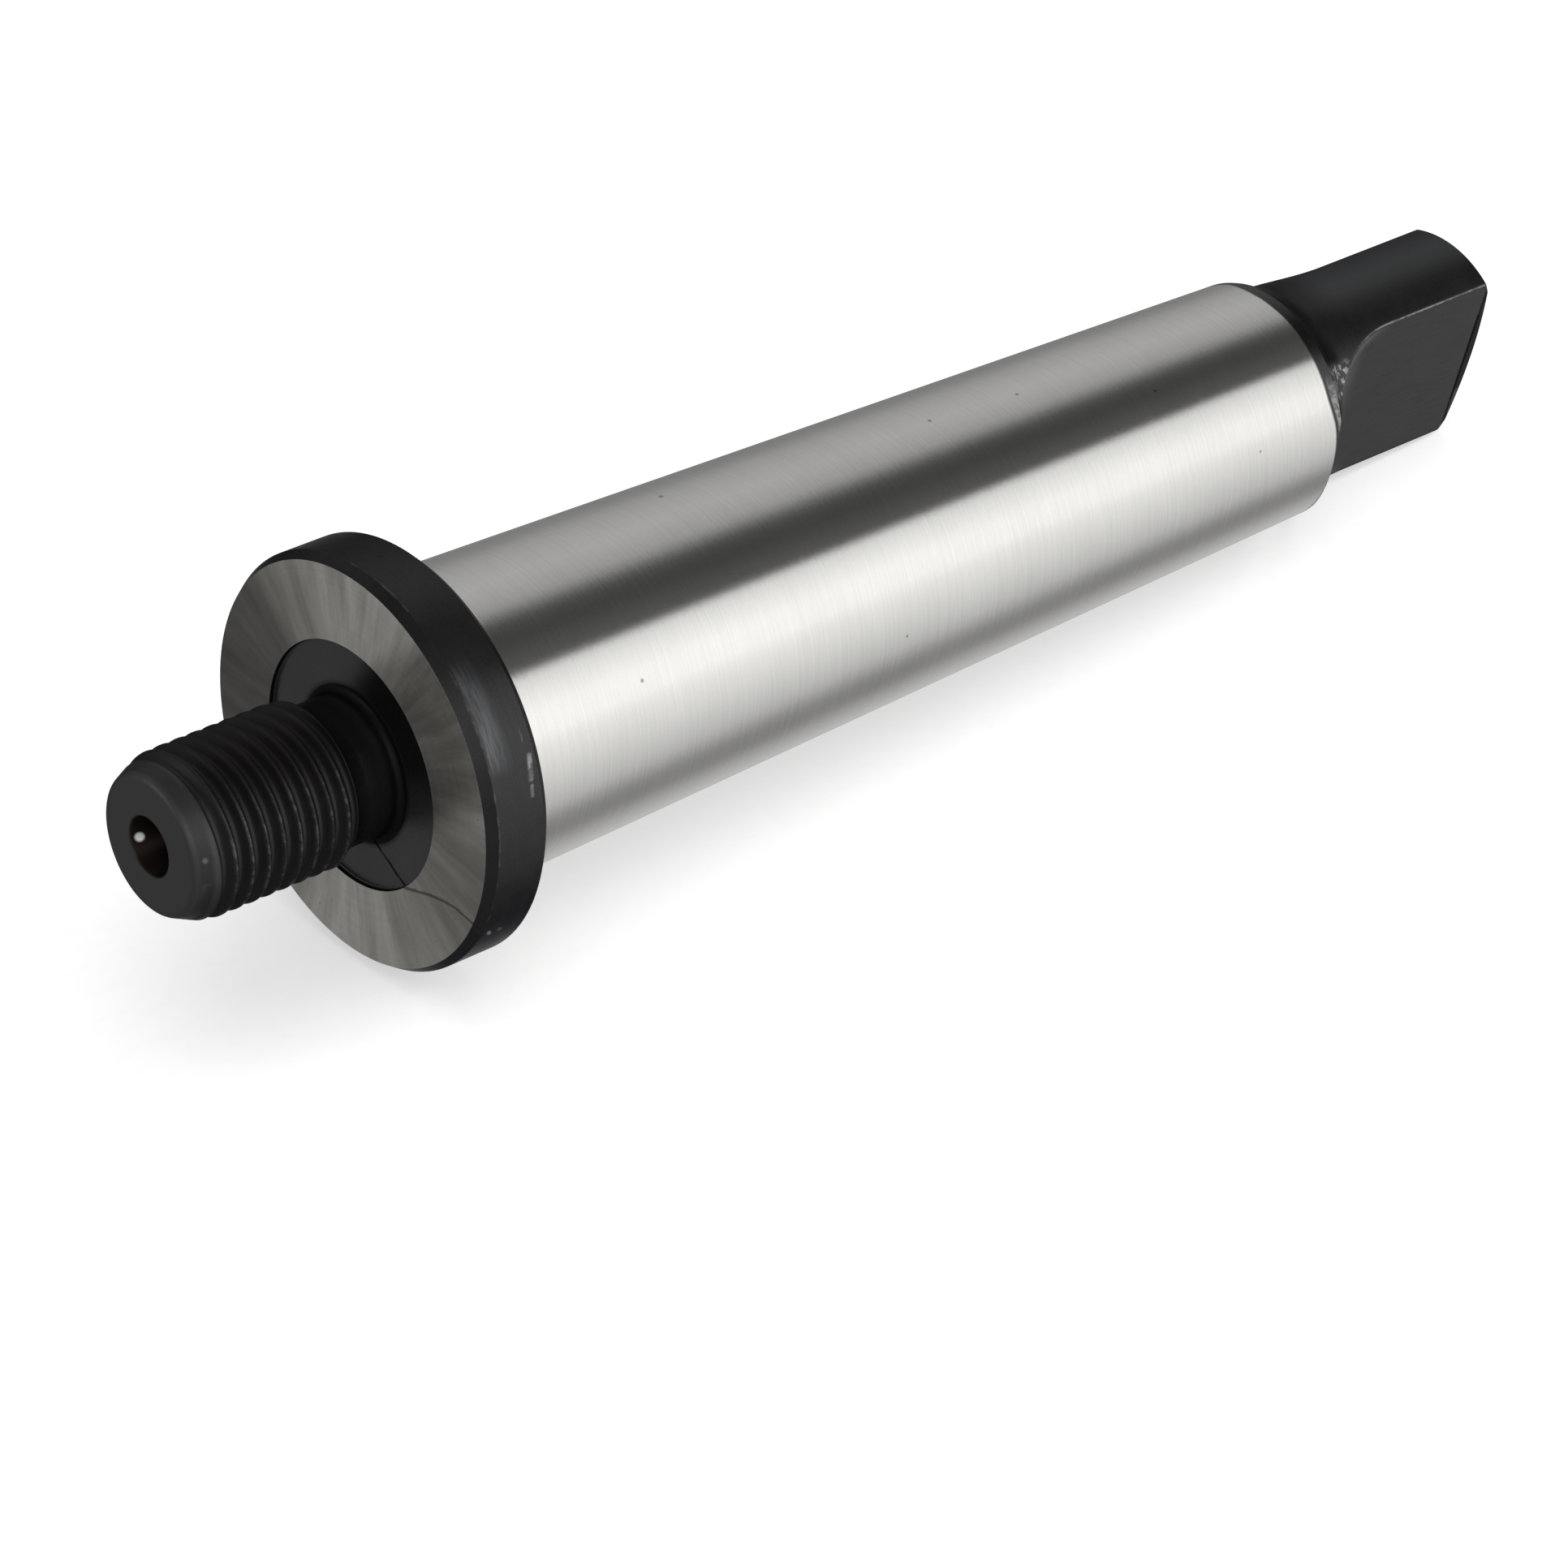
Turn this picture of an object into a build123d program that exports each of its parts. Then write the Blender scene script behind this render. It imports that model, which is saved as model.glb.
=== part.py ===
"""Drill chuck arbor: a No. 2 Morse taper shank with a tang at one end, a round
collar, and a 3/8-24 UNF threaded stud that a threaded-mount drill chuck screws
onto.  It is one piece, turned from bar, milled at the tang and ground.

Distances along the arbor, s, are counted from the ground front face of the
collar: the stud is at negative s, the taper and the tang at positive s.

The arbor lies as it comes to rest on a bench, on the rim of its collar and on
the end of its tang.  +Z is up and the origin is on the bench, under the centre
of the arbor's box.  The stud points to -X.  Millimetres.
"""
from build123d import *
from math import atan2, cos, degrees, radians, sin, sqrt
import os

# ---------------------------------------------------------------- dimensions
# Morse taper No. 2
gauge_d = 17.780          # diameter at the gauge line
taper_per_mm = 1 / 20.020  # loss of diameter per mm of length
gauge_offset = 5.0        # from the back of the collar to the gauge line
shank_len = 81.3          # from the back of the collar to the crown of the tang
cone_len = 64.8           # from the back of the collar to the cone's small end

# collar
collar_d = 24.0
collar_t = 4.2
front_face_d = 23.2       # ground annular face
front_chamfer_len = 0.60  # along the axis
back_chamfer = 0.50
recess_d = 14.3           # relief round the foot of the stud
recess_depth = 0.30

# threaded stud, 3/8-24 UNF: the body has the thread's major diameter
stud_d = 9.525
stud_len = 13.3           # from the ground face to the stud's end
stud_end_d = 7.90         # flat end, inside the lead chamfer
stud_chamfer_len = 1.80   # along the axis
neck_d = 8.20             # plain relief behind the thread
neck_len = 2.60           # from the ground face
thread_runout = 0.50      # length of the slope from thread to neck
neck_fillet = 0.40        # at the foot of the stud

# tang
tang_d = 13.05
tang_t = 6.2              # across the flats
crown_height = 0.68       # the end is crowned
end_chamfer_len = 0.38    # along the axis
end_chamfer_depth = 0.61  # across it
end_break_len = 0.31      # edge break at the small end of the cone, along
end_break_depth = 0.10    # and across the axis
neck_radius = 2.70        # hollow between the cone's end and the tang
flat_start = 9.75         # from the tang's crown to where the flat is full
flat_runout_r = 8.2       # concave cutter radius at the end of each flat
tang_roll = 12.0          # how far the flats lean from the vertical, degrees

# centre holes, 60 degrees
stud_centre_d = 3.50
tang_centre_d = 3.30
pilot_d = 1.60
pilot_len = 2.20          # past the foot of the cone
guard_d = 4.90            # shallow ring that guards the tang's centre hole
guard_depth = 0.32        # below the crown

# The turned faces start and end on a seam that lies this far round from the
# top, in degrees, so that the rim doesn't rest on a line of its facets.
seam_turn = 2.37

# ------------------------------------------------------------ derived sizes
s_back = collar_t
s_end = s_back + shank_len
s_small = s_back + cone_len
k = taper_per_mm / 2


def taper_r(s):
    """Radius of the ground taper at s."""
    return gauge_d / 2 - (s - s_back - gauge_offset) * k


small_r = taper_r(s_small)
tang_r = tang_d / 2
collar_r = collar_d / 2
crown_edge = (s_end - crown_height, tang_r - end_chamfer_depth)
crown_r = (crown_edge[1] ** 2 + crown_height ** 2) / (2 * crown_height)


def crown_s(r):
    """Where the crowned end lies, r away from the axis."""
    return s_end - crown_r + sqrt(crown_r ** 2 - r ** 2)



# The lowest points are the back edge of the collar's rim and the edge of the
# chamfer at the tang's end.
s_low1, r_low1 = s_back - back_chamfer, collar_r
s_low2, r_low2 = crown_edge[0] - end_chamfer_len, tang_r
lean = atan2(r_low1 - r_low2, s_low2 - s_low1)

axis_dir = Vector(cos(lean), 0, -sin(lean))
axis_up = Vector(sin(lean), 0, cos(lean))

# Height of the axis where s = 0, and the arbor's reach along X.
z_zero = r_low1 * cos(lean) + s_low1 * sin(lean)
x_left = min(-stud_len * cos(lean) - stud_end_d / 2 * sin(lean),
             -(stud_len - stud_chamfer_len) * cos(lean) - stud_d / 2 * sin(lean))
x_right = max(crown_s(guard_d / 2) * cos(lean) + guard_d / 2 * sin(lean),
              crown_edge[0] * cos(lean) + crown_edge[1] * sin(lean),
              s_low2 * cos(lean) + tang_r * sin(lean))
origin = Vector(-(x_left + x_right) / 2, 0, z_zero)

side = axis_dir.cross(axis_up)
arbor_axis = Axis(origin, axis_dir)


def plane_through_axis(turn):
    """A plane with x along the arbor and y at an angle round it from the top."""
    out = axis_up * cos(radians(turn)) + side * sin(radians(turn))
    return Plane(origin=origin, x_dir=axis_dir, z_dir=axis_dir.cross(out))


long_plane = plane_through_axis(seam_turn)

# In this one, y is upright to the tang's flats.
flat_plane = plane_through_axis(90 + tang_roll)

# --------------------------------------------------------------- the arbor
with BuildPart() as arbor:
    # turned and ground outline
    with BuildSketch(long_plane) as outline:
        with BuildLine() as edge:
            # foot of the stud: a fillet between the neck and the recess floor
            foot = neck_d / 2
            s_shoulder = s_small + end_break_len
            r_shoulder = small_r - end_break_depth
            hollow_drop = r_shoulder - tang_r
            hollow_run = sqrt(max(neck_radius ** 2 - (neck_radius - hollow_drop) ** 2, 0))
            l1 = Polyline(
                (-stud_len, 0),
                (-stud_len, stud_end_d / 2),
                (-stud_len + stud_chamfer_len, stud_d / 2),
                (-neck_len - thread_runout, stud_d / 2),
                (-neck_len, foot),
                (recess_depth - neck_fillet, foot),
            )
            l2 = RadiusArc(l1 @ 1, (recess_depth, foot + neck_fillet), -neck_fillet)
            l3 = Polyline(
                l2 @ 1,
                (recess_depth, recess_d / 2),
                (0, recess_d / 2),
                (0, front_face_d / 2),
                (front_chamfer_len, collar_r),
                (s_back - back_chamfer, collar_r),
                (s_back, collar_r - back_chamfer),
                (s_back, taper_r(s_back)),
                (s_small, small_r),
                (s_shoulder, r_shoulder),
            )
            l4 = RadiusArc(l3 @ 1, (s_shoulder + hollow_run, tang_r), -neck_radius)
            l5 = Polyline(l4 @ 1, (s_low2, tang_r), crown_edge)
            half_crown = crown_edge[1] / 2
            l6 = ThreePointArc(crown_edge, (crown_s(half_crown), half_crown), (s_end, 0))
            l7 = Line((s_end, 0), (-stud_len, 0))
        make_face()
    revolve(axis=arbor_axis)

    # the two flats of the tang, each ending in a concave cutter radius
    s_flat = s_end - flat_start
    half_t = tang_t / 2
    top = tang_r + 3
    rise = top - half_t
    with BuildSketch(flat_plane) as cuts:
        for sgn in (1, -1):
            with BuildLine():
                reach = sqrt(flat_runout_r ** 2 - (flat_runout_r - min(rise, flat_runout_r)) ** 2)
                mid_a = radians(45)
                p_top = (s_flat - reach, sgn * (half_t + min(rise, flat_runout_r)))
                p_mid = (s_flat - flat_runout_r * sin(mid_a),
                         sgn * (half_t + flat_runout_r * (1 - cos(mid_a))))
                c1 = ThreePointArc((s_flat, sgn * half_t), p_mid, p_top)
                c2 = Polyline(
                    p_top,
                    (s_end + 3, p_top[1]),
                    (s_end + 3, sgn * half_t),
                    (s_flat, sgn * half_t),
                )
            make_face()
    extrude(amount=tang_d, both=True, mode=Mode.SUBTRACT)

    # centre hole in the stud's end
    cone_tan = 3 ** -0.5
    stud_cone = (stud_centre_d - pilot_d) / 2 / cone_tan
    with BuildSketch(long_plane) as stud_centre:
        with BuildLine():
            Polyline(
                (-stud_len - 1, 0),
                (-stud_len - 1, stud_centre_d / 2 + cone_tan),
                (-stud_len + stud_cone, pilot_d / 2),
                (-stud_len + stud_cone + pilot_len, pilot_d / 2),
                (-stud_len + stud_cone + pilot_len + pilot_d / 2 * cone_tan, 0),
                close=True,
            )
        make_face()
    revolve(axis=arbor_axis, mode=Mode.SUBTRACT)

    # centre hole in the tang's end, with its guard ring
    tang_cone = (tang_centre_d - pilot_d) / 2 / cone_tan
    with BuildSketch(long_plane) as tang_centre:
        with BuildLine():
            Polyline(
                (s_end + 1, 0),
                (s_end + 1, guard_d / 2),
                (s_end - guard_depth, guard_d / 2),
                (s_end - guard_depth, tang_centre_d / 2),
                (s_end - guard_depth - tang_cone, pilot_d / 2),
                (s_end - guard_depth - tang_cone - pilot_len, pilot_d / 2),
                (s_end - guard_depth - tang_cone - pilot_len - pilot_d / 2 * cone_tan, 0),
                close=True,
            )
        make_face()
    revolve(axis=arbor_axis, mode=Mode.SUBTRACT)

arbor.part.label = "chuck_arbor"

box = arbor.part.bounding_box()
print("lean", round(degrees(lean), 3), "deg")
print("volume", round(arbor.part.volume, 1), "mm3")
print("box", [round(v, 3) for v in (*box.min, *box.max)])
print("origin of s = 0", [round(v, 4) for v in origin], "axis", [round(v, 6) for v in axis_dir])
print("flat normal", [round(v, 6) for v in flat_plane.y_dir])
print("small end s", round(s_small, 3), "radius", round(small_r, 4), "s_end", round(s_end, 3))
gap = small_r * cos(lean) - (z_zero - s_small * sin(lean))
print("clearance under the taper's small end", round(-gap, 3))

os.makedirs("parts", exist_ok=True)
export_step(arbor.part, "parts/chuck_arbor.step")
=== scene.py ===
import math

import bmesh
import bpy
import numpy as np
from mathutils import Matrix, Vector


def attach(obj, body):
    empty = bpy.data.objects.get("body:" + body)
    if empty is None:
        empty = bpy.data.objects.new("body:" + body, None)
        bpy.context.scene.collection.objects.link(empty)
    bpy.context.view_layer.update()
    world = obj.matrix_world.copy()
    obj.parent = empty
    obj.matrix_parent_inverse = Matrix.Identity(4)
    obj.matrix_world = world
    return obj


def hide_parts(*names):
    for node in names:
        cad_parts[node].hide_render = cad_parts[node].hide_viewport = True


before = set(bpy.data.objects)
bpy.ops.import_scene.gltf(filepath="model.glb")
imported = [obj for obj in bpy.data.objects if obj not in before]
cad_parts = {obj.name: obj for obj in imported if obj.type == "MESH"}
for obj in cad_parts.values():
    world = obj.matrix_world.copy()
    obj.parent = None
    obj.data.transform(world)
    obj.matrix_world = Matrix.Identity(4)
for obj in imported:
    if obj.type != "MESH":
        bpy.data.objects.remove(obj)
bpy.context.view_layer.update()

# ----------------------------------------------------------------------------
# The arbor's own frame.  s runs along the arbor from the ground front face of
# its collar, negative on the stud and positive on the taper and the tang.
# Lengths are in millimetres here, and become metres when the mesh is made.
# ----------------------------------------------------------------------------
ORIGIN = np.array([-35.90898, 0.0, 12.222828])
AXIS = np.array([0.99770878, 0.0, -0.06765489])
UP = np.array([0.06765489, 0.0, 0.99770878])
SIDE = np.array([0.0, -1.0, 0.0])

TAPER_K = 1 / 20.020 / 2
S_BACK, S_GROUND, S_SMALL, S_END = 4.2, 68.2, 69.0, 85.5


def taper_r(s):
    return 17.780 / 2 - (s - S_BACK - 5.0) * TAPER_K


COLLAR_R = 11.9885

TANG_R, TANG_HALF = 6.525, 3.1
HOLLOW_R = 2.7
S_FLAT = S_END - 9.75
RUNOUT_R = 8.2
FLAT_ROLL = math.radians(102.0)     # from UP towards SIDE
CORNER = 0.20                       # rounding along the flats' edges
# the end: a chamfer on the round sides, and a crown
CROWN_H = 0.68
EDGE_S, EDGE_R = S_END - CROWN_H, TANG_R - 0.61
CHAMFER_S = EDGE_S - 0.38
CROWN_R = (EDGE_R ** 2 + CROWN_H ** 2) / (2 * CROWN_H)


def crown_s(r):
    return S_END - CROWN_R + np.sqrt(CROWN_R ** 2 - np.square(r))


# 3/8-24 UNF external thread, right-hand
PITCH = 25.4 / 24
R_CREST = 9.525 / 2
R_ROOT = R_CREST - 0.52 * PITCH      # shallow and soft, as the photo shows it
STUD_LEN, STUD_END_R, LEAD = 13.3, 3.95, 1.8
NECK_R, NECK_LEN, THREAD_OUT = 4.1, 2.6, 0.5
THREAD_PHASE = 0.30                 # where a crest crosses the top, in pitches

# Columns: each half of the arbor, from the middle of one flat to the middle of
# the other, has COL_ARC steps, and COL_EDGE more at each end, which become the
# rounded edges of the flats.  COL_FLAT steps cross each flat.
COL_ARC, COL_EDGE, COL_FLAT = 66, 4, 26
HALF = COL_ARC + 2 * COL_EDGE
N = 2 * HALF


# ----------------------------------------------------------------------------
# Profiles
# ----------------------------------------------------------------------------
def rounded(points, steps=4, guard=0.035):
    """A profile through points (s, r, rounding radius), with each corner
    rounded and a guard ring either side of the rounding, so that the long
    faces stay flat in shading.  Returns (s, r) and the number of the span
    that each ring closes."""
    out, span = [], []
    n = len(points)
    for i, (s, r, rho) in enumerate(points):
        p = np.array([s, r], float)
        if i == 0 or i == n - 1 or rho <= 0:
            out.append(p)
            span.append(max(i - 1, 0))
            continue
        a = np.array(points[i - 1][:2], float) - p
        b = np.array(points[i + 1][:2], float) - p
        la, lb = np.linalg.norm(a), np.linalg.norm(b)
        a, b = a / la, b / lb
        turn = math.acos(max(-1.0, min(1.0, float(a @ b))))
        cut = min(rho / math.tan(turn / 2), 0.42 * la, 0.42 * lb)
        rho = cut * math.tan(turn / 2)
        mid = (a + b) / np.linalg.norm(a + b)
        centre = p + mid * rho / math.sin(turn / 2)
        start, end = p + a * cut, p + b * cut
        if la - cut > 3 * guard:
            out.append(start + a * guard)
            span.append(i - 1)
        va, vb = start - centre, end - centre
        sweep = math.acos(max(-1.0, min(1.0, float(va @ vb) / rho ** 2)))
        for k in range(steps + 1):
            t = k / steps
            q = (math.sin((1 - t) * sweep) * va + math.sin(t * sweep) * vb) / math.sin(sweep)
            out.append(centre + q)
            span.append(i - 1 if k <= steps // 2 else i)
        if lb - cut > 3 * guard:
            out.append(end + b * guard)
            span.append(i)
    return np.array(out), span


def arc(c, r, a0, a1, n):
    """Points on an arc in the (s, r) plane, angles in degrees, ends included."""
    t = np.radians(np.linspace(a0, a1, n + 1))
    return [(c[0] + r * math.cos(x), c[1] + r * math.sin(x)) for x in t]


def densify(pts, step):
    """Extra rings on spans longer than step."""
    out = [pts[0]]
    for p, q in zip(pts[:-1], pts[1:]):
        m = max(1, int(math.ceil(np.linalg.norm(np.subtract(q, p)) / step)))
        for k in range(1, m + 1):
            out.append(tuple(np.add(p, np.subtract(q, p) * k / m)))
    return out


CONE = 3 ** -0.5                    # 60 degree centre holes
stud_pilot = -STUD_LEN + (3.5 - 1.6) / 2 / CONE
STUD_CENTRE = [
    (stud_pilot + 2.2 + 0.8 * CONE, 0.0, 0),
    (stud_pilot + 2.2, 0.8, 0.05),
    (stud_pilot, 0.8, 0.05),
    (-STUD_LEN, 1.75, 0.08),
    (-STUD_LEN, STUD_END_R, 0.50),
    (-STUD_LEN + 0.9, STUD_END_R + 0.9 * (R_CREST - STUD_END_R) / LEAD, 0),
]


def stud_cap(s):
    """Outline that the thread is cut into: lead chamfer, cylinder, run-out."""
    lead = STUD_END_R + (s + STUD_LEN) * (R_CREST - STUD_END_R) / LEAD
    out = R_CREST - (s + NECK_LEN + THREAD_OUT) * (R_CREST - NECK_R) / THREAD_OUT
    # the lead rolls softly into the full diameter
    gap = np.clip((R_CREST - lead) / 0.22, -1, 1)
    lead = np.minimum(lead, R_CREST) - 0.055 * (1 - np.abs(gap)) ** 2
    return np.maximum(np.minimum(lead, out), NECK_R - 0.2)


# ----------------------------------------------------------------------------
# Mesh assembly
# ----------------------------------------------------------------------------
class Builder:
    """Collects vertices as rows round the arbor and quads between rows."""

    def __init__(self):
        self.co, self.faces, self.mat, self.uv, self.edge = [], [], [], [], []

    def add(self, s, u, v, prof, turn, edge=0.0):
        """Vertices at (s, u, v); prof and turn give each one's UV, and edge
        says how far it lies on a rubbed edge of the flats."""
        s, u, v, prof, turn = np.broadcast_arrays(s, u, v, prof, turn)
        first = len(self.co)
        self.edge.extend(np.broadcast_to(edge, (len(s),)).tolist())
        self.co.extend(np.stack([s, u, v], 1).tolist())
        self.uv.extend(np.stack([prof, turn], 1).tolist())
        return np.arange(first, first + len(s))

    def strip(self, a, b, mat, closed=True):
        """Quads between rows a and b.  mat is a material's number, or one for
        each column."""
        n = len(a)
        for j in range(n if closed else n - 1):
            k = (j + 1) % n
            wrap = closed and k == 0
            self.faces.append((a[j], a[k], b[k], b[j]))
            self.mat.append(int(mat[j]) if hasattr(mat, "__len__") else mat)
            self.wraps.append(wrap)

    wraps = None


B = Builder()
B.wraps = []
GROUND, BLACK, FACE, MILLED = 0, 1, 2, 3

# Column angles, from the first flat's normal round to it again.
half_t = np.arange(HALF) / HALF
ANG = np.concatenate([half_t * math.pi, math.pi + half_t * math.pi])


def ring(s, r, prof, ang=ANG):
    a = ang + FLAT_ROLL
    return B.add(s, r * np.cos(a), r * np.sin(a), prof, ang / (2 * math.pi))


def length_along(pts):
    d = np.linalg.norm(np.diff(np.array(pts, float), axis=0), axis=1)
    return np.concatenate([[0], np.cumsum(d)])


# ---- stud's centre hole, end face and the start of the lead chamfer
head, _ = rounded(STUD_CENTRE)
prof0 = length_along(head)
rows = [ring(s, max(r, 1e-4), l) for (s, r), l in zip(head, prof0)]
apex = B.add(np.array([head[0][0]]), np.array([0.0]), np.array([0.0]), 0.0, 0.0)
for j in range(N):
    B.faces.append((apex[0], rows[1][(j + 1) % N], rows[1][j]))
    B.mat.append(BLACK)
    B.wraps.append(j == N - 1)
for a, b in zip(rows[1:-1], rows[2:]):
    B.strip(b, a, BLACK)
prof_at = prof0[-1]

# ---- thread: rows follow the helix, so that crests, flanks and roots are
# clean lines, and each row is clamped to the ends of the threaded zone.
S_A, S_B = -STUD_LEN + 0.9, -NECK_LEN
APEX_R = R_CREST + PITCH / 16 / math.tan(math.radians(30))
COT = 1 / math.tan(math.radians(30))
X_ROOT = (APEX_R - R_ROOT) / COT


def crest_half(centre, sign):
    """Axial distance from the crest's middle to where the flank leaves the
    stud's outline, on the side that sign gives."""
    lo, hi = np.zeros_like(centre), np.full_like(centre, X_ROOT)
    for _ in range(40):
        mid = (lo + hi) / 2
        above = APEX_R - COT * mid > stud_cap(centre + sign * mid)
        lo, hi = np.where(above, mid, lo), np.where(above, hi, mid)
    return (lo + hi) / 2


def thread_rows():
    """[(s, r)] arrays over the columns, one turn's rows after another."""
    turn = (ANG + FLAT_ROLL) / (2 * math.pi)
    first = math.floor((S_A / PITCH) - 2)
    last = math.ceil((S_B / PITCH) + 2)
    EDGE = 0.022
    out = []
    for k in range(first, last + 1):
        c = (k + THREAD_PHASE + turn) * PITCH
        left, right = crest_half(c, -1), crest_half(c, 1)
        steps = []
        for x, kind in ((-PITCH / 2, "root"), (-X_ROOT - 0.035, "root"), (-X_ROOT + 0.03, "flank"),
                        ("L", 0.5), ("L", 0.12), ("Lo", 0), ("Li", 0),
                        ("Ri", 0), ("Ro", 0), ("R", 0.12), ("R", 0.5),
                        (X_ROOT - 0.03, "flank"), (X_ROOT + 0.035, "root")):
            if x == "L":
                d = -(left + EDGE + (X_ROOT - 0.03 - left - EDGE) * kind)
            elif x == "R":
                d = right + EDGE + (X_ROOT - 0.03 - right - EDGE) * kind
            elif x == "Lo":
                d = -(left + EDGE)
            elif x == "Ro":
                d = right + EDGE
            elif x == "Li":
                d = -np.maximum(left - EDGE, 0.0)
            elif x == "Ri":
                d = np.maximum(right - EDGE, 0.0)
            else:
                d = np.full(N, float(x))
            s = np.clip(c + d, S_A, S_B)
            x_abs = np.abs(s - c)
            flank = APEX_R - COT * x_abs
            # rounded root
            q = np.clip((x_abs - (X_ROOT - 0.05)) / (PITCH / 2 - X_ROOT + 0.05), 0, 1)
            root = R_ROOT + 0.045 - 0.045 * np.sin(q * math.pi / 2)
            r = np.minimum(np.maximum(flank, root), stud_cap(s))
            steps.append((s, r))
        out += steps
    return out


turns = thread_rows()
per_turn = 13
helix = [B.add(s, r * np.cos(ANG + FLAT_ROLL), r * np.sin(ANG + FLAT_ROLL),
               prof_at + s - S_A, ANG / (2 * math.pi)) for s, r in turns]
# Column 0 of the next turn continues column N-1 of this one.
crossing = 0
for i in range(len(helix) - 1 - per_turn):
    a, b = helix[i], helix[i + 1]
    for j in range(N):
        if j < N - 1:
            q = (b[j], b[j + 1], a[j + 1], a[j])
            w = False
        else:
            q = (b[j], helix[i + 1 + per_turn][0], helix[i + per_turn][0], a[j])
            w = True
        B.faces.append(q)
        B.mat.append(BLACK)
        B.wraps.append(w)

# ---- neck, recess, ground face, collar, taper, small end, hollow
S_SH, R_SH = S_SMALL + 0.31, taper_r(S_SMALL) - 0.10
hollow_run = math.sqrt(HOLLOW_R ** 2 - (HOLLOW_R - (R_SH - TANG_R)) ** 2)
hollow_c = (S_SH + hollow_run, TANG_R + HOLLOW_R)
hollow_a = math.degrees(math.atan2(R_SH - hollow_c[1], S_SH - hollow_c[0])) % 360
small_end, _ = rounded(
    [(60.0, taper_r(60.0), 0), (S_SMALL, taper_r(S_SMALL), 0.10), (S_SH, R_SH, 0.08)]
    + [(x, y, 0) for x, y in arc(hollow_c, HOLLOW_R, hollow_a, 270, 16)[1:]]
    + [(S_END, TANG_R, 0)])


def tang_r(s):
    """Radius of the turned surface from the cone to the tang."""
    return np.interp(s, small_end[:, 0], small_end[:, 1])


def flat_h(s):
    """Height of the flat, or of its run-out, above the axis."""
    s = np.asarray(s, float)
    dx = np.clip(S_FLAT - s, 0, RUNOUT_R)
    return TANG_HALF + RUNOUT_R - np.sqrt(RUNOUT_R ** 2 - dx ** 2)


lo, hi = 64.0, S_FLAT
for _ in range(60):
    mid = (lo + hi) / 2
    lo, hi = (mid, hi) if float(flat_h(mid)) > float(tang_r(mid)) else (lo, mid)
S_APEX = (lo + hi) / 2
S_DRIFT = S_APEX - 5.0
foot = arc((-0.1, 4.5), 0.4, -90, 0, 6)

BODY = (
    [(-NECK_LEN, NECK_R, 0.10)]
    + [(s, r, 0) for s, r in foot]
    + [
        (0.30, 7.15, 0.10),
        (0.00, 7.15, 0.035),
        (0.00, 11.6, 0.03),
        (0.60, COLLAR_R, 0.10),
        (3.70, COLLAR_R, 0.09),
        (4.20, 11.5, 0.06),
        (4.20, taper_r(S_BACK), 0.12),
        (S_DRIFT, taper_r(S_DRIFT), 0),
    ]
)
body, spans = rounded(BODY)
# which material each span between rings has
names = []
for sp in spans:
    i = sp  # the span from BODY[i] to BODY[i + 1]
    s0, r0, _ = BODY[i]
    s1, r1, _ = BODY[i + 1]
    if s0 == 0.0 and s1 == 0.0:
        names.append(FACE)
    elif s0 == 4.20 and s1 == S_DRIFT:
        names.append(GROUND)
    else:
        names.append(BLACK)
pts, mats = [tuple(body[0])], []
for p, q, m in zip(body[:-1], body[1:], names[1:]):
    step = 4.0 if m == GROUND else 0.9
    extra = densify([tuple(p), tuple(q)], step)[1:]
    pts += extra
    mats += [m] * len(extra)
prof_at += (S_B - S_A) + 1.0
prof = prof_at + length_along(pts)
rows = [ring(s, r, l) for (s, r), l in zip(pts, prof)]
for a, b, m in zip(rows[:-1], rows[1:], mats):
    B.strip(b, a, m)
neck_row, last_row = rows[0], rows[-1]
prof_at = prof[-1]


# ---- tang: the hollow, the flats with their run-outs, and the end
# circle rows over the cone's last stretch, with the columns drifting to where
# the flats' edges need them
even = half_t
target = np.clip((np.arange(HALF) - COL_EDGE) / COL_ARC, 0, 1)
drift_s = [S_DRIFT + (S_APEX - S_DRIFT) * t for t in (0.12, 0.24, 0.38, 0.52, 0.66, 0.80, 0.92, 0.99)]
prev = last_row
for i, s in enumerate(drift_s):
    w = ((i + 1) / len(drift_s)) ** 1.5 * 0.9
    t = even * (1 - w) + target * w
    ang = np.concatenate([t * math.pi, math.pi + t * math.pi])
    r = float(tang_r(s))
    prof_at += 0.6
    cur = ring(s, r, prof_at, ang)
    B.strip(cur, prev, GROUND)
    prev = cur


def section(s, r, h, rho):
    """The tang's section at s: half the outline, from the middle of the first
    edge rounding's start to the other's end, as (angle, radius) of HALF + 1
    points, and the half width of the flat part. s itself is not used."""
    rho = min(rho, 0.49 * max(r - h, 0) + 1e-9)
    cu = h - rho
    cw = math.sqrt(max((r - rho) ** 2 - cu ** 2, 0.0))
    b = math.atan2(cw, cu)
    u, w = [], []
    for k in range(COL_EDGE + 1):
        a = b * k / COL_EDGE
        u.append(cu + rho * math.cos(a))
        w.append(cw + rho * math.sin(a))
    for k in range(1, COL_ARC):
        a = b + (math.pi - 2 * b) * k / COL_ARC
        u.append(r * math.cos(a))
        w.append(r * math.sin(a))
    for k in range(COL_EDGE + 1):
        a = math.pi - b + b * k / COL_EDGE
        u.append(-cu + rho * math.cos(a))
        w.append(cw + rho * math.sin(a))
    return np.array(u), np.array(w), cw


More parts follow.
